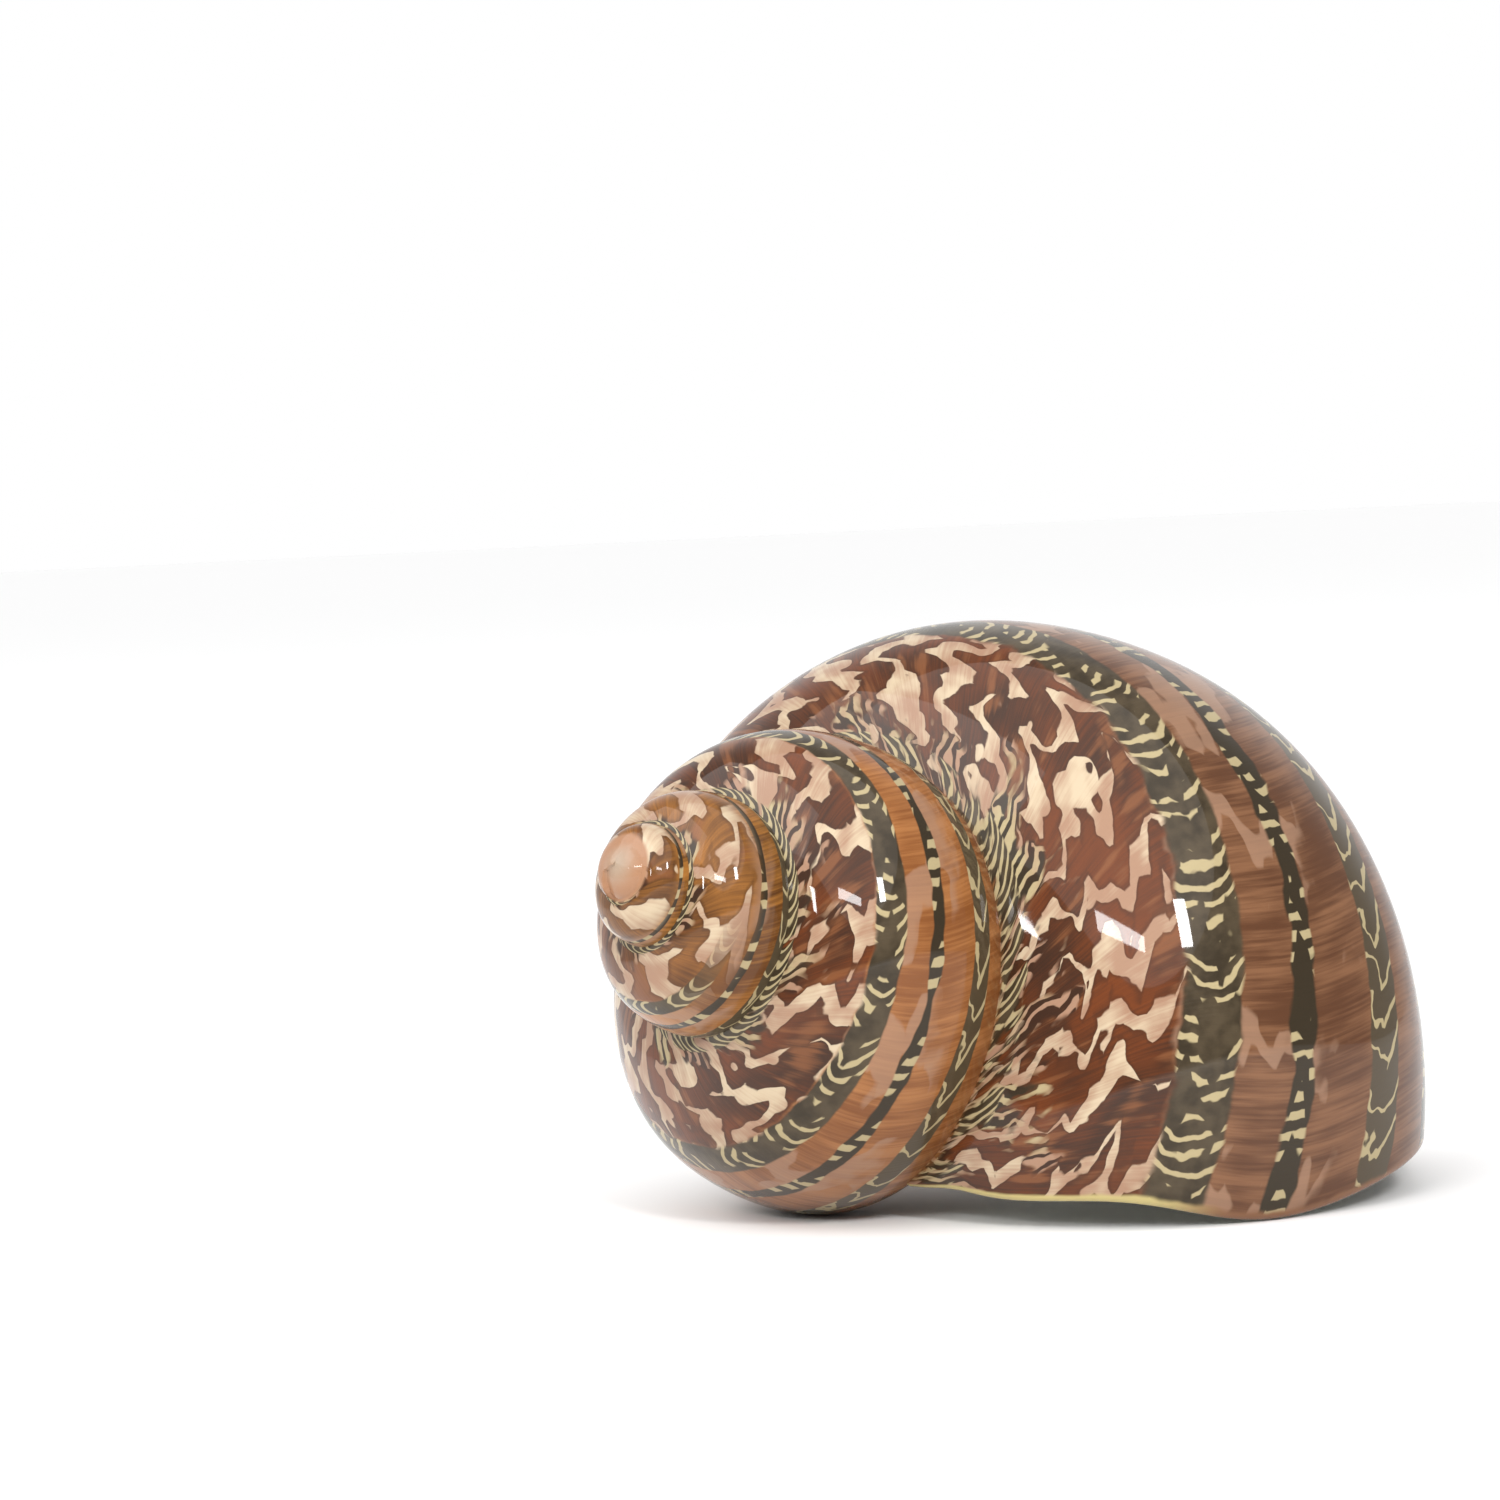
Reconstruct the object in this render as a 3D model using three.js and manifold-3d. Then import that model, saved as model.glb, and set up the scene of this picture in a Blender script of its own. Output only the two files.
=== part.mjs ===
// An empty turban shell, lying as it comes to rest on its mouth: on the lip, the whorl and the base.
// Units are millimetres, +Z is up, and the origin is under the middle of the shell.
import * as THREE from "three";
import { mergeVertices } from "three/addons/utils/BufferGeometryUtils.js";
import Module from "manifold-3d";

// ---- driving dimensions -------------------------------------------------------------------
const TURN = 2 * Math.PI;
const TUBE_RADIUS = 24.0;          // radius of the whorl tube at turn angle 0, just past the lip
const WHORL_GROWTH = 1.987;        // how much wider the tube is after each full turn
const SPIRE_GROWTH = 2.180;        // how much further down the axis it is after each full turn
const AXIS_OFFSET = 0.493;         // tube centre to the shell axis, in tube radii
const DROP = 2.119;                // tube centre below the pole, in tube radii
// The whorl section is a circle with a few shallow lobes: how many, how high, and where they peak.
const LOBES = [
  { count: 2, height: 0.054, peak: 90 },
  { count: 3, height: 0.050, peak: 14.4 },
  { count: 4, height: 0.020, peak: 9 },
  { count: 5, height: 0.039, peak: -25.3 },
];

// The bore, in tube radii.
const COLUMELLA = 0.10;            // radius of the solid pillar on the axis
const PILLAR_GLAZE = 0.06;         // added around the pillar
const WALL = 0.075;                // thickness of the outer wall
const CALLUS = 0.035;              // glaze left on the whorl before
const CALLUS_SPREAD = 1.55;        // higher clears the whorl before over a narrower part of the bore
const BORE_TIGHTNESS = 9;          // higher follows the walls more closely, lower is rounder
const OUT_OF_REACH = 1e3;

// Growth lines are numbered by a turn angle in degrees, negative towards the apex.
const NUCLEUS_LINE = -1480;        // where the worn tip begins
const LIP_LINE = -125.5;           // the rim of the mouth
const BORE_START = -530;           // deep end of the open bore
const BORE_END = -112;             // past the rim, in the open
const RING_STEP = 12;              // along the whorl
const PIECE_TURN = 200;            // most of a turn that one piece of a tube covers
const SECTION_SIDES = 45;
const BORE_SIDES = 24;

// A growth line leans ahead of the half plane through the axis, most at LEAN_PEAK on the section.
// It is drawn back in a shallow bay at the shoulder, and reaches forward where it meets the suture.
const LEAN = 33.8;
const LEAN_PEAK = 132;
const BAY = { depth: 11.5, middle: 47, width: 26 };
const FLARE = { depth: 10, middle: 80, width: 6 };

// The worn tip is a low dome, in tube radii.
const TIP_RADIUS = 0.078;
const TIP_HEIGHT = 0.050;
const TIP_DEPTH = 0.083;           // its middle below the pole
const TIP_SIDES = 20;

// How the shell lies: its axis rises towards the apex, and the given side of the spiral is lowest.
const AXIS_RISE = 19.5;
const LOWEST_SIDE = 79.2;
const POLE = new THREE.Vector3(-26.95, 3.73, 21.70);

const wasm = await Module();
wasm.setup();

// ---- the spiral ---------------------------------------------------------------------------
const radians = (degrees) => THREE.MathUtils.degToRad(degrees);

function sectionRadius(angle) {
  return LOBES.reduce(
    (sum, lobe) => sum + lobe.height * Math.cos(lobe.count * (angle - radians(lobe.peak))), 1);
}

function hump(angle, { depth, middle, width }) {
  return radians(depth) * Math.exp(-(((angle - radians(middle)) / radians(width)) ** 2));
}

// How far a growth line runs ahead of its number at a place on the section.
function lean(angle) {
  return radians(LEAN) * Math.cos(angle - radians(LEAN_PEAK)) - hump(angle, BAY) + hump(angle, FLARE);
}

// A point of the section that has a given radius from the tube centre, on one growth line.
function spiralPoint(line, angle, radius) {
  const turn = line + lean(angle);
  const width = TUBE_RADIUS * WHORL_GROWTH ** (turn / TURN);
  const depth = TUBE_RADIUS * DROP * SPIRE_GROWTH ** (turn / TURN);
  const out = Math.max(AXIS_OFFSET + radius * Math.cos(angle), COLUMELLA) * width;
  const up = radius * Math.sin(angle) * width - depth;
  return new THREE.Vector3(out * Math.cos(-turn), out * Math.sin(-turn), up);
}

// Distance from the tube centre to the bore: the nearest of the outer wall, the pillar and the
// whorl before, blended so that the bore stays round.
function boreRadius(angle) {
  const wall = sectionRadius(angle) - WALL;
  const pillar = (AXIS_OFFSET - COLUMELLA - PILLAR_GLAZE) / Math.max(-Math.cos(angle), 1e-3);
  const growth = 1 / WHORL_GROWTH;
  const rise = DROP * (1 - 1 / SPIRE_GROWTH);
  const inward = AXIS_OFFSET * (1 - growth);
  const gap = Math.hypot(rise, inward) - growth - CALLUS;
  const swing = CALLUS_SPREAD * Math.abs(angle - Math.atan2(rise, -inward));
  const before = swing < Math.PI / 2 ? gap / Math.max(Math.cos(swing), 1e-3) : OUT_OF_REACH;
  const blend = [wall, pillar, before].reduce((sum, d) => sum + d ** -BORE_TIGHTNESS, 0);
  return blend ** (-1 / BORE_TIGHTNESS);
}

// ---- solids -------------------------------------------------------------------------------
function toSolid(geometry) {
  geometry.deleteAttribute("normal");
  geometry.deleteAttribute("uv");
  const merged = mergeVertices(geometry, 1e-4);
  return new wasm.Manifold(new wasm.Mesh({
    numProp: 3,
    vertProperties: new Float32Array(merged.attributes.position.array),
    triVerts: new Uint32Array(merged.index.array),
  }));
}

function toGeometry(solid) {
  const mesh = solid.getMesh();
  const geometry = new THREE.BufferGeometry();
  geometry.setAttribute("position", new THREE.BufferAttribute(mesh.vertProperties, 3));
  geometry.setIndex(new THREE.BufferAttribute(mesh.triVerts, 1));
  geometry.computeVertexNormals();
  return geometry;
}

// A closed tube through the same section at each growth line, with a fan across both ends.
function sweep(lines, sides, radiusAt) {
  const points = [];
  const faces = [];
  for (const line of lines) {
    const ring = Array.from({ length: sides }, (_, i) => {
      const angle = (i / sides) * TURN - Math.PI;
      return spiralPoint(line, angle, radiusAt(angle));
    });
    points.push(...ring);
  }
  for (let k = 0; k + 1 < lines.length; k += 1) {
    for (let i = 0; i < sides; i += 1) {
      const a = k * sides + i;
      const b = k * sides + (i + 1) % sides;
      faces.push(a, b, b + sides, a, b + sides, a + sides);
    }
  }
  const last = (lines.length - 1) * sides;
  for (const [first, flip] of [[0, false], [last, true]]) {
    const hub = points.length;
    points.push(spiralPoint(lines[first / sides], 0, 0));
    for (let i = 0; i < sides; i += 1) {
      const a = first + i;
      const b = first + (i + 1) % sides;
      faces.push(...(flip ? [hub, a, b] : [hub, b, a]));
    }
  }
  const geometry = new THREE.BufferGeometry().setFromPoints(points);
  geometry.setIndex(faces);
  return toSolid(geometry);
}

function growthLines(from, to) {
  const steps = Math.round((to - from) / RING_STEP);
  return Array.from({ length: steps + 1 }, (_, i) => radians(from + ((to - from) * i) / steps));
}

// Each whorl overlaps the last, so a tube is joined from pieces that are shorter than a turn.
// Each piece starts one step before the last one ends.
function joinedTube(from, to, sides, radiusAt) {
  const lines = growthLines(from, to);
  const stretch = Math.round(PIECE_TURN / RING_STEP);
  const pieces = [];
  for (let k = 0; k + 2 < lines.length; k += stretch) {
    pieces.push(sweep(lines.slice(k, k + stretch + 2), sides, radiusAt));
  }
  return pieces.reduce((whole, piece) => whole.add(piece));
}

// The tip is worn to a low dome.
function wornTip() {
  const dome = new THREE.SphereGeometry(TIP_RADIUS * TUBE_RADIUS, TIP_SIDES, TIP_SIDES / 2);
  dome.scale(1, 1, TIP_HEIGHT / TIP_RADIUS);
  dome.translate(0, 0, -TIP_DEPTH * TUBE_RADIUS);
  return toSolid(dome);
}

// From the shell's own axes to how it lies.
function lyingPose() {
  const rise = radians(AXIS_RISE);
  const apex = new THREE.Vector3(-Math.cos(rise), 0, Math.sin(rise));
  const lowest = new THREE.Vector3(-Math.sin(rise), 0, -Math.cos(rise));
  const side = new THREE.Vector3().crossVectors(apex, lowest);
  const pose = new THREE.Matrix4().makeBasis(lowest, side, apex).setPosition(POLE);
  return pose.multiply(new THREE.Matrix4().makeRotationZ(-radians(LOWEST_SIDE)));
}

// Coincident faces can leave slivers of no thickness, so only the largest body is kept.
function withoutSlivers(solid) {
  return solid.decompose().reduce((best, body) => (body.volume() > best.volume() ? body : best));
}

function turbanShell() {
  const whorls = joinedTube(NUCLEUS_LINE, LIP_LINE, SECTION_SIDES, sectionRadius);
  const bore = joinedTube(BORE_START, BORE_END, BORE_SIDES, boreRadius);
  const geometry = toGeometry(withoutSlivers(whorls.add(wornTip()).subtract(bore)));
  geometry.applyMatrix4(lyingPose());
  const material = new THREE.MeshStandardMaterial({ color: 0x7a4424, roughness: 0.15, metalness: 0 });
  const mesh = new THREE.Mesh(geometry, material);
  mesh.name = "turban_shell";
  return mesh;
}

const shell = new THREE.Group();
shell.add(turbanShell());

export default shell;
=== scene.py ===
"""A polished turban shell lying on its mouth, on a plain pale floor under soft studio light.

The shell is one solid, grown along a logarithmic spiral. The fine surface here uses the same
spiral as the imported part, at a higher resolution, with a rounded lip and procedural markings.
"""
import math

import bmesh
import bpy
import numpy as np
from mathutils import Matrix, Vector


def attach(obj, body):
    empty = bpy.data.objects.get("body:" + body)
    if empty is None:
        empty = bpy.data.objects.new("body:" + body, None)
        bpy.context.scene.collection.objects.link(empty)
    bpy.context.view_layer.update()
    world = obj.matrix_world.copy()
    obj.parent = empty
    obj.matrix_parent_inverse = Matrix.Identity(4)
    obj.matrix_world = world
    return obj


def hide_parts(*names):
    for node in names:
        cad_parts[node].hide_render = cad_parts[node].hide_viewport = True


MM = 0.001
TURN = 2 * math.pi

# ---- the spiral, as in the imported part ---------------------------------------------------
TUBE_RADIUS = 24.0 * MM        # radius of the whorl tube at turn angle 0
WHORL_GROWTH = 1.987           # widening in each full turn
SPIRE_GROWTH = 2.180           # descent along the axis in each full turn
AXIS_OFFSET = 0.493            # tube centre to the axis, in tube radii
DROP = 2.119                   # tube centre below the pole, in tube radii
LOBES = ((2, 0.054, 90), (3, 0.050, 14.4), (4, 0.020, 9), (5, 0.039, -25.3))

# the bore, in tube radii
COLUMELLA = 0.10               # radius of the solid pillar on the axis
PILLAR_GLAZE = 0.06
WALL = 0.075
CALLUS = 0.035                 # glaze left on the whorl before
CALLUS_SPREAD = 1.55
BORE_TIGHTNESS = 9
OUT_OF_REACH = 1e3
LEAST_COSINE = 1e-3            # keeps the pillar and the last whorl at a finite distance

# growth lines, numbered by a turn angle in degrees, negative towards the apex
NUCLEUS_LINE = -1480
LIP_LINE = -125.5
BORE_START = -530
BORE_END = -112
LEAN = 33.8                    # how far a growth line leans ahead, and where on the section
LEAN_PEAK = 132
BAY = (11.5, 47, 26)           # depth, middle and width of the bay at the shoulder
FLARE = (10, 80, 6)            # and of the flare at the suture

# the worn tip, in tube radii
TIP_RADIUS = 0.078
TIP_HEIGHT = 0.050
TIP_DEPTH = 0.083

# how the shell lies
AXIS_RISE = math.radians(19.5)
LOWEST_SIDE = math.radians(79.2)
POLE = Vector((-26.95, 3.73, 21.70)) * MM

# ---- fineness of the visible mesh --------------------------------------------------------
RING_STEP = 2.5                # degrees along the whorl
SECTION_SIDES = 150
BORE_SIDES = 90
PIECE_TURN = 200               # degrees in each piece that is joined
COILS = 5                      # whorls counted back from the lip
BORE_COILS = 2                 # of them, those that the open bore reaches
LIP_ROUND = 0.42 * MM          # radius of the rim's two edges
LIP_ROUND_RINGS = 6
TIP_SIDES = 64
SHARP_ANGLE = math.radians(32)  # edges steeper than this are shaded as sharp

# ---- the view ----------------------------------------------------------------------------
VIEW_AZIMUTH = math.radians(-41.04)
VIEW_ELEVATION = math.radians(3.57)
VIEW_ROLL = math.radians(-2.71)
VIEW_DISTANCE = 282.2 * MM     # camera to the pole of the spiral
AIM_RIGHT = 7.9 * MM           # the middle of the view, from the pole
AIM_UP = 6.0 * MM
LENS = 123.6                   # for the sensor width below, both in millimetres
SENSOR_WIDTH = 36
NEAR_CLIP = 10 * MM
BACKDROP = 1.0                 # brightness of the world behind the shell, and elsewhere
SURROUND = 0.36
BACKDROP_EDGE = (0.35, 0.85)   # share of a direction that points the way the view faces
FLOOR_HALF = 30.0              # metres, so far that its edge is only faint on the backdrop
LIGHT_AIM = Vector((0, 0, 20)) * MM


# ---- the surface -------------------------------------------------------------------------
def section_radius(angle):
    lobes = sum(height * np.cos(count * (angle - math.radians(peak)))
                for count, height, peak in LOBES)
    return 1 + lobes


def bore_radius(angle):
    """Distance from the tube centre to the bore, kept off the wall, pillar and last whorl."""
    wall = section_radius(angle) - WALL
    pillar = (AXIS_OFFSET - COLUMELLA - PILLAR_GLAZE) / np.maximum(-np.cos(angle), LEAST_COSINE)
    growth = 1 / WHORL_GROWTH
    rise = DROP * (1 - 1 / SPIRE_GROWTH)
    inward = AXIS_OFFSET * (1 - growth)
    gap = math.hypot(rise, inward) - growth - CALLUS
    swing = CALLUS_SPREAD * np.abs(angle - math.atan2(rise, -inward))
    near = gap / np.maximum(np.cos(swing), LEAST_COSINE)
    before = np.where(swing < math.pi / 2, near, OUT_OF_REACH)
    blend = sum(d ** -BORE_TIGHTNESS for d in (wall, pillar, before))
    return blend ** (-1 / BORE_TIGHTNESS)


def hump(angle, depth, middle, width):
    share = (angle - math.radians(middle)) / math.radians(width)
    return math.radians(depth) * np.exp(-share ** 2)


def lean(angle):
    """How far a growth line runs ahead of its number at a place on the section."""
    whole = math.radians(LEAN) * np.cos(angle - math.radians(LEAN_PEAK))
    return whole - hump(angle, *BAY) + hump(angle, *FLARE)


def lip_inset(line):
    """How far the two edges of the rim are rounded back on a growth line, in tube radii."""
    lip = math.radians(LIP_LINE)
    size = TUBE_RADIUS * WHORL_GROWTH ** (lip / TURN)
    to_rim = np.clip((lip - line) * size, 0, LIP_ROUND)
    rest = LIP_ROUND - to_rim
    return (LIP_ROUND - np.sqrt(LIP_ROUND ** 2 - rest ** 2)) / size


def outer_radius(line, angle):
    return section_radius(angle) - lip_inset(line)


def inner_radius(line, angle):
    return bore_radius(angle) + lip_inset(line)


def spiral_points(line, angle, radius):
    """Points of the section on a growth line, in the shell's own axes."""
    turn = line + lean(angle)
    width = TUBE_RADIUS * WHORL_GROWTH ** (turn / TURN)
    depth = TUBE_RADIUS * DROP * SPIRE_GROWTH ** (turn / TURN)
    out = np.maximum(AXIS_OFFSET + radius * np.cos(angle), COLUMELLA) * width
    up = radius * np.sin(angle) * width - depth
    return np.stack([out * np.cos(-turn), out * np.sin(-turn), up], -1)


def lying_pose():
    """From the shell's own axes to how it lies."""
    apex = Vector((-math.cos(AXIS_RISE), 0, math.sin(AXIS_RISE)))
    lowest = Vector((-math.sin(AXIS_RISE), 0, -math.cos(AXIS_RISE)))
    side = apex.cross(lowest)
    turned = Matrix((lowest, side, apex)).transposed().to_4x4()
    return Matrix.Translation(POLE) @ turned @ Matrix.Rotation(-LOWEST_SIDE, 4, "Z")


# ---- solids ------------------------------------------------------------------------------
def link(name, data):
    """Puts a mesh, light or camera in the scene as an object."""
    obj = bpy.data.objects.new(name, data)
    bpy.context.scene.collection.objects.link(obj)
    return obj


def new_object(name, points, faces):
    mesh = bpy.data.meshes.new(name)
    mesh.from_pydata(points, [], faces)
    mesh.update()
    return link(name, mesh)


def tube(name, lines, sides, radius_at):
    """A closed tube through the section at each growth line, with a fan across both ends."""
    angles = np.linspace(-math.pi, math.pi, sides, endpoint=False)
    line_grid, angle_grid = np.meshgrid(lines, angles, indexing="ij")
    radius = radius_at(line_grid, angle_grid)
    rings = spiral_points(line_grid, angle_grid, radius).reshape(-1, 3)
    ends = np.array([lines[0], lines[-1]])
    hubs = spiral_points(ends, np.zeros(2), np.zeros(2))
    first = np.arange(sides)
    second = (first + 1) % sides
    start = np.arange(len(lines) - 1)[:, None] * sides
    quads = [start + first, start + second, start + second + sides, start + first + sides]
    faces = np.stack(quads, -1).reshape(-1, 4).tolist()
    last = (len(lines) - 1) * sides
    hub = len(rings)
    faces += [(hub, int(b), int(a)) for a, b in zip(first, second)]
    faces += [(hub + 1, int(last + a), int(last + b)) for a, b in zip(first, second)]
    return new_object(name, np.vstack([rings, hubs]).tolist(), faces)


def combine(first, second, operation):
    """Joins or cuts two closed meshes, and removes the second."""
    modifier = first.modifiers.new("combine", "BOOLEAN")
    modifier.operation = operation
    modifier.solver = "MANIFOLD"
    modifier.object = second
    evaluated = first.evaluated_get(bpy.context.evaluated_depsgraph_get())
    result = bpy.data.meshes.new_from_object(evaluated)
    first.modifiers.remove(modifier)
    first.data = result
    bpy.data.objects.remove(second)
    return first


def growth_lines(start, end):
    """Evenly spaced lines, with closer ones through the rounded part of the rim."""
    steps = round((end - start) / RING_STEP)
    even = np.linspace(start, end, steps + 1)
    quarter = np.linspace(0, math.pi / 2, LIP_ROUND_RINGS)
    reach = LIP_ROUND / (TUBE_RADIUS * WHORL_GROWTH ** (LIP_LINE / 360))
    rim = LIP_LINE - math.degrees(reach) * (1 - np.sin(quarter))
    apart = np.abs(even[:, None] - rim).min(1) > RING_STEP / 4
    lines = np.union1d(even[apart], rim[rim <= end])
    return np.radians(lines)


def joined_tube(name, start, end, sides, radius_at):
    """Each whorl overlaps the last, so the tube is joined from pieces shorter than a turn."""
    lines = growth_lines(start, end)
    stretch = round(PIECE_TURN / RING_STEP)
    whole = None
    for k in range(0, len(lines) - 2, stretch):
        piece = tube(name, lines[k:k + stretch + 2], sides, radius_at)
        whole = piece if whole is None else combine(whole, piece, "UNION")
    return whole


def worn_tip():
    bm = bmesh.new()
    bmesh.ops.create_uvsphere(bm, u_segments=TIP_SIDES, v_segments=TIP_SIDES // 2,
                              radius=TIP_RADIUS * TUBE_RADIUS)
    mesh = bpy.data.meshes.new("worn_tip")
    bm.to_mesh(mesh)
    bm.free()
    mesh.transform(Matrix.Diagonal((1, 1, TIP_HEIGHT / TIP_RADIUS, 1)))
    mesh.transform(Matrix.Translation((0, 0, -TIP_DEPTH * TUBE_RADIUS)))
    return link("worn_tip", mesh)


def shell_mesh():
    shell = joined_tube("shell_skin", NUCLEUS_LINE, LIP_LINE, SECTION_SIDES, outer_radius)
    shell = combine(shell, worn_tip(), "UNION")
    bore = joined_tube("bore", BORE_START, BORE_END, BORE_SIDES, inner_radius)
    shell = combine(shell, bore, "DIFFERENCE")
    shell.data.transform(lying_pose())
    return shell


# ---- where each face lies on the spiral --------------------------------------------------
TRUE_LENGTH = 0.9              # lengths along the whorl are true this many tube radii out
ARC_PER_DEGREE = TUBE_RADIUS / MM * math.pi / 180   # across the last whorl, in millimetres


def turn_angle(points, coil):
    """Turn angle in whorl number coil, counted back from the lip."""
    return np.mod(-np.arctan2(points[:, 1], points[:, 0]), TURN) - TURN * (coil + 1)


def place_on_section(points, turn):
    """Angle on the whorl section, and distance from the tube centre in tube radii."""
    width = TUBE_RADIUS * WHORL_GROWTH ** (turn / TURN)
    depth = TUBE_RADIUS * DROP * SPIRE_GROWTH ** (turn / TURN)
    across = np.hypot(points[:, 0], points[:, 1]) / width - AXIS_OFFSET
    up = (points[:, 2] + depth) / width
    return np.arctan2(up, across), np.hypot(up, across)


def unwrap(values, near):
    """Adds whole turns so that each value is the closest one to near."""
    return values + TURN * np.round((near - values) / TURN)


def nearest_whorl(centres):
    """For each face, the whorl it lies on, and whether it is on the bore."""
    outer_miss = []
    bore_miss = []
    for coil in range(COILS):
        angle, radius = place_on_section(centres, turn_angle(centres, coil))
        scale = WHORL_GROWTH ** -coil
        outer_miss.append(np.abs(radius - section_radius(angle)) * scale)
        if coil < BORE_COILS:
            bore_miss.append(np.abs(radius - bore_radius(angle)) * scale)
    outer_miss = np.array(outer_miss)
    bore_miss = np.array(bore_miss)
    inside = bore_miss.min(0) < outer_miss.min(0)
    return np.where(inside, bore_miss.argmin(0), outer_miss.argmin(0)), inside


def read_array(collection, name, width, kind=float):
    values = np.empty(len(collection) * width, kind)
    collection.foreach_get(name, values)
    return values.reshape(-1, width) if width > 1 else values


def mark_growth(shell):
    """Stores, for each face corner, where it lies along and across the whorl."""
    mesh = shell.data
    to_shell = np.array(lying_pose().inverted())
    points = read_array(mesh.vertices, "co", 3) @ to_shell[:3, :3].T + to_shell[:3, 3]
    centres = read_array(mesh.polygons, "center", 3) @ to_shell[:3, :3].T + to_shell[:3, 3]
    whorl, inside = nearest_whorl(centres)
    face_turn = turn_angle(centres, whorl)
    face_angle, _ = place_on_section(centres, face_turn)

    face = np.repeat(np.arange(len(whorl)), read_array(mesh.polygons, "loop_total", 1, int))
    corners = points[read_array(mesh.loops, "vertex_index", 1, int)]
    turn = unwrap(turn_angle(corners, whorl[face]), face_turn[face])
    angle, _ = place_on_section(corners, turn)
    angle = unwrap(angle, face_angle[face])
    size = WHORL_GROWTH ** ((turn - lean(angle)) / TURN)
    tip = np.array((0, 0, -TIP_DEPTH * TUBE_RADIUS))
    from_tip = np.linalg.norm(corners - tip, axis=1) / (TIP_RADIUS * TUBE_RADIUS)
    reach = (AXIS_OFFSET + TRUE_LENGTH) * TUBE_RADIUS / MM * TURN / math.log(WHORL_GROWTH)
    store_uv(mesh, "growth", reach * size, np.degrees(angle))
    store_uv(mesh, "place", size, from_tip)
    mesh.polygons.foreach_set("use_smooth", np.ones(len(whorl), bool))
    return inside


def store_uv(mesh, name, u, v):
    layer = mesh.uv_layers.new(name=name)
    layer.data.foreach_set("uv", np.stack([u, v], -1).astype(np.float32).ravel())


# ---- shader arithmetic -------------------------------------------------------------------
class Field:
    """A number that varies over the surface. Arithmetic on it adds Math nodes to the material."""

    def __init__(self, tree, socket):
        self.tree = tree
        self.socket = socket

    def operate(self, operation, *others, clamp=False):
        node = self.tree.nodes.new("ShaderNodeMath")
        node.operation = operation
        node.use_clamp = clamp
        for socket, value in zip(node.inputs, (self, *others)):
            plug(self.tree, socket, value)
        return Field(self.tree, node.outputs[0])

    def __add__(self, other):
        return self.operate("ADD", other)

    def __sub__(self, other):
        return self.operate("SUBTRACT", other)

    def __mul__(self, other):
        return self.operate("MULTIPLY", other)

    def __truediv__(self, other):
        return self.operate("DIVIDE", other)

    def __neg__(self):
        return self.operate("MULTIPLY", -1.0)

    def __abs__(self):
        return self.operate("ABSOLUTE")

    def inverse(self):
        """One minus the field."""
        return (-self) + 1.0

    def power(self, exponent):
        return self.operate("POWER", exponent)

    def cycle(self):
        """The fractional part, from 0 to 1."""
        return self.operate("FRACT")

    def wave(self):
        """A triangle wave that is 0 at whole numbers and 1 half way between."""
        return abs(self.cycle() * 2.0 - 1.0).inverse()

    def most(self, other):
        return self.operate("MAXIMUM", other)

    def rise(self, low, high):
        """0 below low, 1 above high, smooth between them."""
        node = self.tree.nodes.new("ShaderNodeMapRange")
        node.interpolation_type = "SMOOTHSTEP"
        plug(self.tree, node.inputs["Value"], self)
        plug(self.tree, node.inputs["From Min"], low)
        plug(self.tree, node.inputs["From Max"], high)
        return Field(self.tree, node.outputs[0])

    def fall(self, low, high):
        return self.rise(low, high).inverse()


def plug(tree, socket, value):
    """Links a field, or sets a plain value."""
    if isinstance(value, Field):
        tree.links.new(value.socket, socket)
    else:
        socket.default_value = value


def combine_fields(tree, *values):
    node = tree.nodes.new("ShaderNodeCombineXYZ")
    for socket, value in zip(node.inputs, values):
        plug(tree, socket, value)
    return Field(tree, node.outputs[0])


def noise(tree, along, across, seed, detail=2.0):
    """Smooth random field, centred on 0 and mostly within 0.5 of it."""
    node = tree.nodes.new("ShaderNodeTexNoise")
    node.noise_dimensions = "3D"
    node.inputs["Scale"].default_value = 1.0
    node.inputs["Detail"].default_value = detail
    node.inputs["Roughness"].default_value = 0.5
    plug(tree, node.inputs["Vector"], combine_fields(tree, along, across, float(seed)))
    return Field(tree, node.outputs["Fac"]) * 2.0 - 1.0


def srgb(red, green, blue):
    """A colour named by its screen values, 0 to 255."""
    def linear(value):
        share = value / 255
        return share / 12.92 if share <= 0.04045 else ((share + 0.055) / 1.055) ** 2.4
    return (linear(red), linear(green), linear(blue), 1.0)


def mix(tree, share, first, second):
    """first where share is 0, second where it is 1."""
    node = tree.nodes.new("ShaderNodeMix")
    node.data_type = "RGBA"
    colour_inputs = [socket for socket in node.inputs if socket.type == "RGBA"]
    colour_output = next(socket for socket in node.outputs if socket.type == "RGBA")
    for socket, value in zip([node.inputs["Factor"], *colour_inputs], (share, first, second)):
        plug(tree, socket, value)
    return Field(tree, colour_output)


def new_material(name, settings):
    """A material and its shader, with the settings put on the shader's own sockets."""
    material = bpy.data.materials.new(name)
    material.use_nodes = True
    shader = material.node_tree.nodes["Principled BSDF"]
    for socket, value in settings.items():
        shader.inputs[socket].default_value = value
    return material, shader


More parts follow.
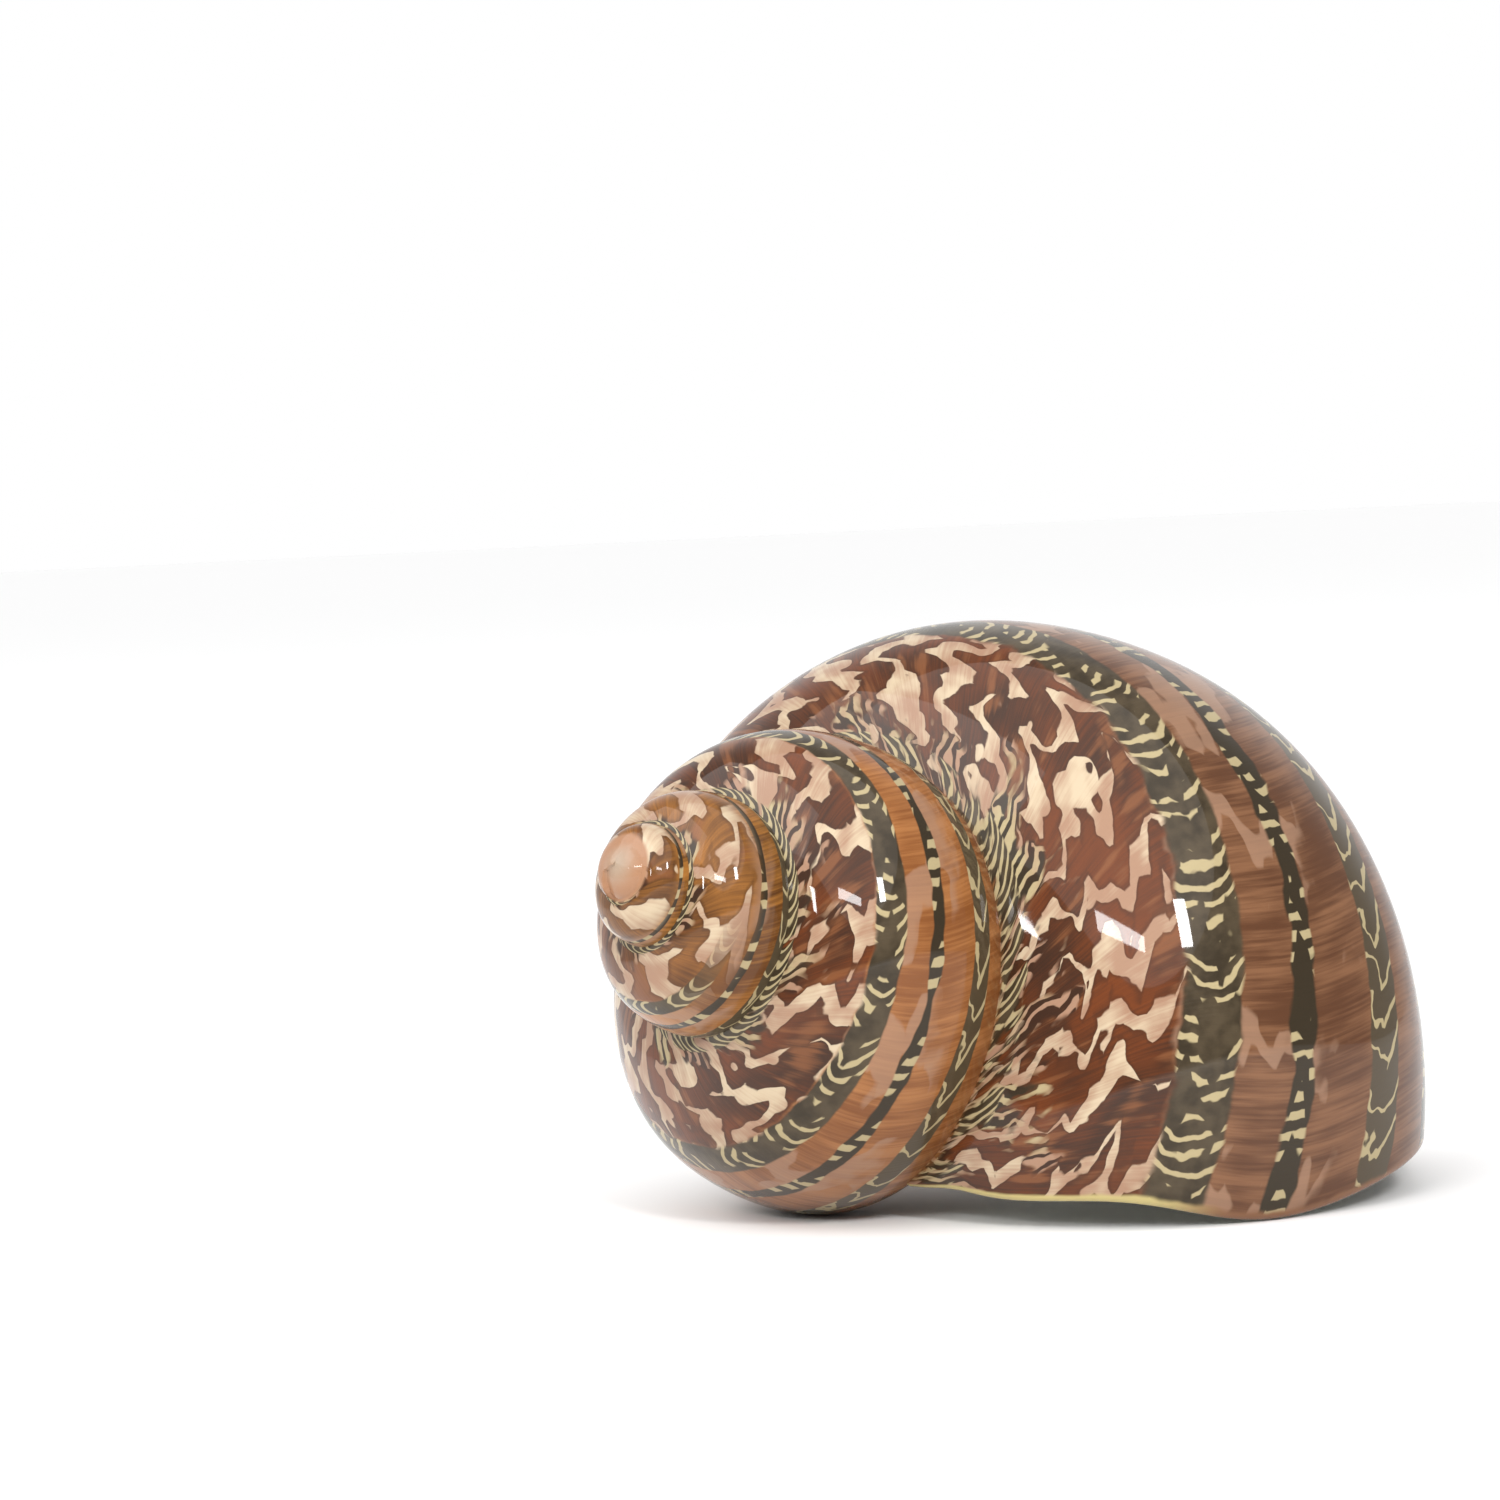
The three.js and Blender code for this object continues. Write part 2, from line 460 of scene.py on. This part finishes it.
# ---- markings ----------------------------------------------------------------------------
RED_BROWN = srgb(104, 50, 14)
DEEP_BROWN = srgb(54, 29, 12)
MIDDLE_BROWN = srgb(126, 76, 42)
WARM_BROWN = srgb(86, 52, 30)
DARK_ORANGE = srgb(126, 74, 34)
ORANGE_BROWN = srgb(166, 110, 62)
PALE_BROWN = srgb(126, 86, 58)
DARK_GOLD = srgb(84, 50, 18)
GOLD = srgb(160, 106, 46)
CREAM = srgb(192, 173, 145)
PINK_CREAM = srgb(156, 121, 97)
GREEN_CREAM = srgb(170, 154, 116)
OLIVE = srgb(48, 38, 22)
GREY_OLIVE = srgb(74, 62, 44)
SUTURE_BROWN = srgb(146, 98, 56)
LIP_YELLOW = srgb(184, 168, 112)
NUCLEUS_WHITE = srgb(166, 152, 134)
NUCLEUS_PINK = srgb(160, 118, 88)
NACRE_WHITE = srgb(226, 222, 205)
NACRE_GREEN = srgb(205, 214, 206)
NACRE_PINK = srgb(232, 208, 205)

# gloss, as settings of the shader
POLISH = {"Roughness": 0.5, "Specular IOR Level": 0.1,
          "Coat Weight": 0.8, "Coat Roughness": 0.03, "Coat IOR": 1.4}
NACRE_SHEEN = {"Roughness": 0.22, "Metallic": 0.25, "Coat Weight": 0.6, "Coat Roughness": 0.08}
FLOOR_LOOK = {"Base Color": (0.96, 0.96, 0.96, 1), "Roughness": 0.9, "Specular IOR Level": 0.0}
STREAK_STRENGTH = 0.25
STREAK_HEIGHT = 0.04 * MM

# Places on the shell. A size is a share of the whorl's size on growth line 0. The other numbers
# are degrees round the section, from its side away from the axis towards the suture.
EARLY_SIZE = (0.18, 0.26)
LATE_SIZE = (0.34, 0.62)
SHOULDER = (40.0, 42.0)        # where the flames give way to the bands
LACE_EDGE = (66.0, 73.0)
SUTURE_EDGE = (76.0, 78.0)
SHOULDER_BAND = (35.5, 6.0)    # middle and half width, as for all bands
SUTURE_BEADS = (74.0, 3.0)
LIP_SIZE = WHORL_GROWTH ** (LIP_LINE / 360)
LIP_MARGIN = (LIP_SIZE - 0.0026, LIP_SIZE - 0.0014)


def uv_fields(tree, name):
    node = tree.nodes.new("ShaderNodeUVMap")
    node.uv_map = name
    split = tree.nodes.new("ShaderNodeSeparateXYZ")
    tree.links.new(node.outputs[0], split.inputs[0])
    return Field(tree, split.outputs[0]), Field(tree, split.outputs[1])


class Growth:
    """The places and noises that the markings share, in millimetres on the last whorl."""

    def __init__(self, tree):
        self.along, self.angle = uv_fields(tree, "growth")
        self.size, self.from_tip = uv_fields(tree, "place")
        self.across = self.angle * self.size * ARC_PER_DEGREE
        self.broad = self.patches(tree, 8.0, 6.0, 1)
        self.patchy = self.patches(tree, 4.2, 3.6, 6)
        self.medium = self.patches(tree, 2.2, 2.0, 2)
        self.fine = self.patches(tree, 0.7, 0.7, 3)
        self.streak = self.patches(tree, 0.20, 5.0, 4, detail=3.0)
        self.slow_streak = self.patches(tree, 1.3, 9.0, 5)
        zigzag = (self.across / 3.6 + self.broad * 0.8).wave()
        jag = (self.across / 1.5 + self.patchy * 0.8).wave()
        bend = zigzag * 0.55 + jag * 0.21 + self.broad * 1.0 + self.medium * 0.06
        self.flame_phase = self.along / 5.4 + bend

    def patches(self, tree, length, breadth, seed, detail=2.0):
        """Noise in patches about this long along the whorl and this broad across it."""
        return noise(tree, self.along / length, self.across / breadth, seed, detail)


def plain_stripes(tree, growth):
    """The ground colour, orange on the early whorls and browner on the last, finely streaked."""
    late = growth.size.rise(*LATE_SIZE)
    early = growth.size.fall(*EARLY_SIZE)
    dark = mix(tree, late, DARK_ORANGE, WARM_BROWN)
    light = mix(tree, late, ORANGE_BROWN, PALE_BROWN)
    dark = mix(tree, early, dark, DARK_GOLD)
    light = mix(tree, early, light, GOLD)
    tone = growth.streak * 0.7 + growth.slow_streak * 0.9 + growth.broad * 0.9 + 0.45
    return mix(tree, tone.rise(0.0, 1.0), dark, light)


def flames(tree, growth):
    """Cream flames on red-brown between the shoulder and the suture."""
    flame = growth.flame_phase.wave()
    breadth = growth.patchy * 1.0 + growth.medium * 0.16 + growth.fine * 0.08 + 0.57
    breadth = breadth + growth.broad * 0.35 + growth.angle.rise(46.0, 72.0) * 0.10
    breadth = breadth + growth.size.rise(0.62, 0.70) * 0.10
    flame_mask = flame.rise(breadth, breadth + 0.07)
    edge = flame.rise(breadth - 0.25, breadth)
    tone = (growth.broad + growth.streak * 0.45 + growth.patchy * 0.5).rise(-0.5, 0.5)
    ground = mix(tree, tone, RED_BROWN, DEEP_BROWN)
    early = growth.size.fall(*EARLY_SIZE)
    gold = mix(tree, tone, GOLD, DARK_GOLD)
    ground = mix(tree, early * 0.8, ground, gold)
    faded = (growth.slow_streak + growth.patchy + growth.streak * 0.3).rise(0.10, 0.45)
    ground = mix(tree, faded * 0.7, ground, MIDDLE_BROWN)
    ground = mix(tree, edge * 0.45, ground, DEEP_BROWN)
    tint = (growth.medium * 0.8 + growth.streak * 0.3 + growth.broad).rise(-0.35, 0.45)
    pale = mix(tree, tint, PINK_CREAM, CREAM)
    return mix(tree, flame_mask, ground, pale)


def arc_band(tree, colour, growth, middle, half, spacing, groups):
    """Dark blocks crossed by thin cream arcs where groups is 1."""
    place = (growth.angle - middle) / half
    inside = abs(place + growth.medium * 0.20).fall(0.84, 1.0)
    block = mix(tree, (growth.medium + growth.fine * 0.4).rise(-0.4, 0.4), OLIVE, GREY_OLIVE)
    bow = place.power(2.0) * 0.9
    arcs = (growth.along / spacing + bow + growth.medium * 0.8).wave() + growth.fine * 0.16
    block = mix(tree, arcs.rise(0.56, 0.74) * groups, block, GREEN_CREAM)
    return mix(tree, inside, colour, block)


def lace_band(tree, colour, growth):
    """Broken rows of small scallops under the suture, fading into the flames."""
    bend = (growth.across / 2.0 + growth.patchy * 1.2).wave() * 0.6 + growth.broad * 2.0
    row = (growth.along / 1.55 + bend + growth.medium * 0.75).wave()
    row = row + growth.patchy * 0.5 + growth.fine * 0.25
    tint = (growth.broad + growth.medium * 0.8).rise(-0.3, 0.3)
    dark = mix(tree, tint, OLIVE, DEEP_BROWN)
    pale = mix(tree, tint, GREEN_CREAM, PINK_CREAM)
    laced = mix(tree, row.rise(0.54, 0.70), dark, pale)
    zone = (growth.angle + growth.medium * 22.0 + growth.patchy * 26.0).rise(*LACE_EDGE)
    return mix(tree, zone, colour, laced)


def dotted_band(tree, colour, growth, middle, half):
    """A thin dark line broken by rows of cream dots."""
    edge = abs(growth.angle - middle + growth.medium) + growth.patchy * half * 1.2
    inside = edge.fall(half * 0.9, half * 1.2)
    dots = (growth.along / 1.1 + growth.medium * 0.4).wave() + growth.fine * 0.2
    rows = (growth.flame_phase + 0.35).wave().rise(0.50, 0.60)
    dash = mix(tree, dots.rise(0.45, 0.60) * rows, OLIVE, GREEN_CREAM)
    return mix(tree, inside, colour, dash)


def chevron_band(tree, colour, growth, middle, half):
    """Dark blocks with cream chevrons and loops."""
    place = (growth.angle - middle) / half
    inside = abs(place + growth.medium * 0.25).fall(0.9, 1.05)
    point = abs(place + growth.medium * 0.8)
    bend = point * 0.6 + growth.medium * 0.7 + growth.patchy * 0.8
    chevrons = (growth.along / 2.4 + bend).wave() + growth.fine * 0.16
    block = mix(tree, chevrons.rise(0.76, 0.86), GREY_OLIVE, GREEN_CREAM)
    return mix(tree, inside, colour, block)


LOWER_BANDS = ((dotted_band, 16.4, 2.6), (chevron_band, -5.7, 4.6), (dotted_band, -27.0, 2.4),
               (chevron_band, -46.0, 4.2), (dotted_band, -66.0, 2.4))


def cream_splashes(tree, colour, growth):
    """Pale patches that the flames throw over the plain stripes."""
    splash = (growth.flame_phase * 0.5 + growth.patchy * 0.5).wave().rise(0.60, 0.72)
    reach = (growth.angle + growth.medium * 16.0 + growth.broad * 30.0).rise(4.0, 14.0)
    return mix(tree, splash * reach * 0.65, colour, PINK_CREAM)


def shell_colour(tree):
    """Flames below the suture, then bands that run along the whorl."""
    growth = Growth(tree)
    stripes = cream_splashes(tree, plain_stripes(tree, growth), growth)
    groups = (growth.flame_phase + growth.patchy * 0.5 + 0.1).wave().rise(0.44, 0.56)
    banded = arc_band(tree, stripes, growth, *SHOULDER_BAND, 1.15, groups)
    for add_band, middle, half in LOWER_BANDS:
        banded = add_band(tree, banded, growth, middle, half)
    painted = flames(tree, growth)
    above_shoulder = (growth.angle + growth.medium * 3.0).rise(*SHOULDER)
    young = growth.size.fall(0.19, 0.22) * growth.angle.rise(14.0, 30.0)
    colour = mix(tree, above_shoulder.most(young), banded, painted)
    colour = lace_band(tree, colour, growth)
    beads = (growth.patchy + growth.medium + growth.size.fall(0.3, 0.6) * 0.5).rise(-0.05, 0.15)
    beaded = arc_band(tree, colour, growth, *SUTURE_BEADS, 1.35, 1.0)
    colour = mix(tree, beads, colour, beaded)
    suture = (growth.angle + growth.fine * 2.0).rise(*SUTURE_EDGE)
    colour = mix(tree, suture * 0.8, colour, SUTURE_BROWN)
    rim = (growth.size + growth.medium * 0.001).rise(*LIP_MARGIN)
    rim_tint = mix(tree, growth.angle.rise(24.0, 40.0), PALE_BROWN, LIP_YELLOW)
    colour = mix(tree, rim, colour, rim_tint)
    nucleus = mix(tree, growth.from_tip.rise(0.5, 0.9), NUCLEUS_WHITE, NUCLEUS_PINK)
    colour = mix(tree, growth.from_tip.fall(1.0, 1.12), colour, nucleus)
    return colour, growth.streak


def shell_material():
    """A ground that the fine streaks ripple slightly, under a smooth clear polish."""
    material, shader = new_material("polished_shell", POLISH)
    tree = material.node_tree
    colour, streak = shell_colour(tree)
    tree.links.new(colour.socket, shader.inputs["Base Color"])
    bump = tree.nodes.new("ShaderNodeBump")
    bump.inputs["Strength"].default_value = STREAK_STRENGTH
    bump.inputs["Distance"].default_value = STREAK_HEIGHT
    tree.links.new(streak.socket, bump.inputs["Height"])
    tree.links.new(bump.outputs[0], shader.inputs["Normal"])
    return material


def nacre_material():
    """Silvery mother of pearl inside the mouth."""
    material, shader = new_material("nacre", NACRE_SHEEN)
    tree = material.node_tree
    along, angle = uv_fields(tree, "growth")
    size, _ = uv_fields(tree, "place")
    across = angle * size * ARC_PER_DEGREE
    cloud = noise(tree, along / 7.0, across / 5.0, 11)
    ripple = noise(tree, along / 0.9, across / 6.0, 12)
    tint = mix(tree, (cloud + ripple * 0.4).rise(-0.5, 0.5), NACRE_WHITE, NACRE_GREEN)
    tint = mix(tree, (cloud - ripple * 0.3).rise(0.1, 0.6), tint, NACRE_PINK)
    tree.links.new(tint.socket, shader.inputs["Base Color"])
    return material


def build_shell():
    shell = shell_mesh()
    inside = mark_growth(shell)
    shell.data.materials.clear()
    shell.data.materials.append(shell_material())
    shell.data.materials.append(nacre_material())
    shell.data.polygons.foreach_set("material_index", inside.astype(int))
    shell.data.set_sharp_from_angle(angle=SHARP_ANGLE)
    shell.data.validate()
    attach(shell, "root")
    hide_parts("turban_shell")
    return shell


# ---- stage -------------------------------------------------------------------------------
def direction(azimuth, elevation):
    """From the object towards a camera or light at this azimuth and elevation."""
    return Vector((math.sin(azimuth) * math.cos(elevation),
                   -math.cos(azimuth) * math.cos(elevation),
                   math.sin(elevation)))


def add_camera():
    back = direction(VIEW_AZIMUTH, VIEW_ELEVATION)
    level = Vector((math.cos(VIEW_AZIMUTH), math.sin(VIEW_AZIMUTH), 0))
    right = Matrix.Rotation(VIEW_ROLL, 3, back) @ level
    up = back.cross(right)
    place = POLE + back * VIEW_DISTANCE
    target = POLE + right * AIM_RIGHT + up * AIM_UP
    data = bpy.data.cameras.new("camera")
    data.lens = LENS
    data.sensor_width = SENSOR_WIDTH
    data.clip_start = NEAR_CLIP
    camera = link("camera", data)
    aim = (target - place).to_track_quat("-Z", "Y").to_matrix().to_4x4()
    camera.matrix_world = Matrix.Translation(place) @ aim @ Matrix.Rotation(VIEW_ROLL, 4, "Z")
    bpy.context.scene.camera = camera


# name, azimuth and elevation in degrees, distance, width and height in metres, power in watts
SOFTBOXES = (
    ("key_window", -27, 30, 0.8, 0.10, 0.15, 2.6),
    ("strip", -69, 25, 0.8, 0.34, 0.045, 1.3),
    ("side_spots", -101, 18, 0.8, 0.02, 0.07, 0.2),
    ("rim_panel", -128, 38, 1.2, 1.0, 0.7, 4.0),
)


def add_softbox(name, azimuth, elevation, distance, width, height, power):
    data = bpy.data.lights.new(name, "AREA")
    data.shape = "RECTANGLE"
    data.size = width
    data.size_y = height
    data.energy = power
    light = link(name, data)
    way = direction(math.radians(azimuth), math.radians(elevation))
    light.location = way * distance + LIGHT_AIM
    light.rotation_euler = way.to_track_quat("Z", "Y").to_euler()


def add_sun(azimuth, elevation, spread, strength):
    """One wide soft light, even over the whole floor."""
    data = bpy.data.lights.new("overhead", "SUN")
    data.angle = math.radians(spread)
    data.energy = strength
    light = link("overhead", data)
    way = direction(math.radians(azimuth), math.radians(elevation))
    light.rotation_euler = way.to_track_quat("Z", "Y").to_euler()


def add_world():
    """White behind the shell and dimmer elsewhere, so that the polish keeps its depth."""
    world = bpy.data.worlds.new("studio")
    world.use_nodes = True
    tree = world.node_tree
    look = tree.nodes.new("ShaderNodeTexCoord")
    split = tree.nodes.new("ShaderNodeSeparateXYZ")
    tree.links.new(look.outputs["Generated"], split.inputs[0])
    ahead = Field(tree, split.outputs[0]) * -math.sin(VIEW_AZIMUTH)
    ahead = ahead + Field(tree, split.outputs[1]) * math.cos(VIEW_AZIMUTH)
    behind = ahead.rise(*BACKDROP_EDGE)
    background = tree.nodes["Background"]
    background.inputs["Color"].default_value = (1, 1, 1, 1)
    plug(tree, background.inputs["Strength"], behind * (BACKDROP - SURROUND) + SURROUND)
    bpy.context.scene.world = world


def add_lights():
    for softbox in SOFTBOXES:
        add_softbox(*softbox)
    add_sun(azimuth=-60, elevation=62, spread=90, strength=2.0)


def add_floor():
    signs = ((-1, -1), (1, -1), (1, 1), (-1, 1))
    corners = [(x * FLOOR_HALF, y * FLOOR_HALF, 0) for x, y in signs]
    floor = new_object("floor", corners, [(0, 1, 2, 3)])
    material, _ = new_material("pale_floor", FLOOR_LOOK)
    floor.data.materials.append(material)


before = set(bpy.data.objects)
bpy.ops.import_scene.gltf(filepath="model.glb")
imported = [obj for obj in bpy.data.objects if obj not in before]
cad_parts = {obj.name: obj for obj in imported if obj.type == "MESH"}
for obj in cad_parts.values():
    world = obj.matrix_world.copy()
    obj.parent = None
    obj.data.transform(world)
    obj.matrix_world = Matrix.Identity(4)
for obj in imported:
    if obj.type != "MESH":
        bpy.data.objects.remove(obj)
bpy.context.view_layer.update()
add_camera()
build_shell()
add_floor()
add_lights()
add_world()
bpy.context.scene.view_settings.view_transform = "Standard"
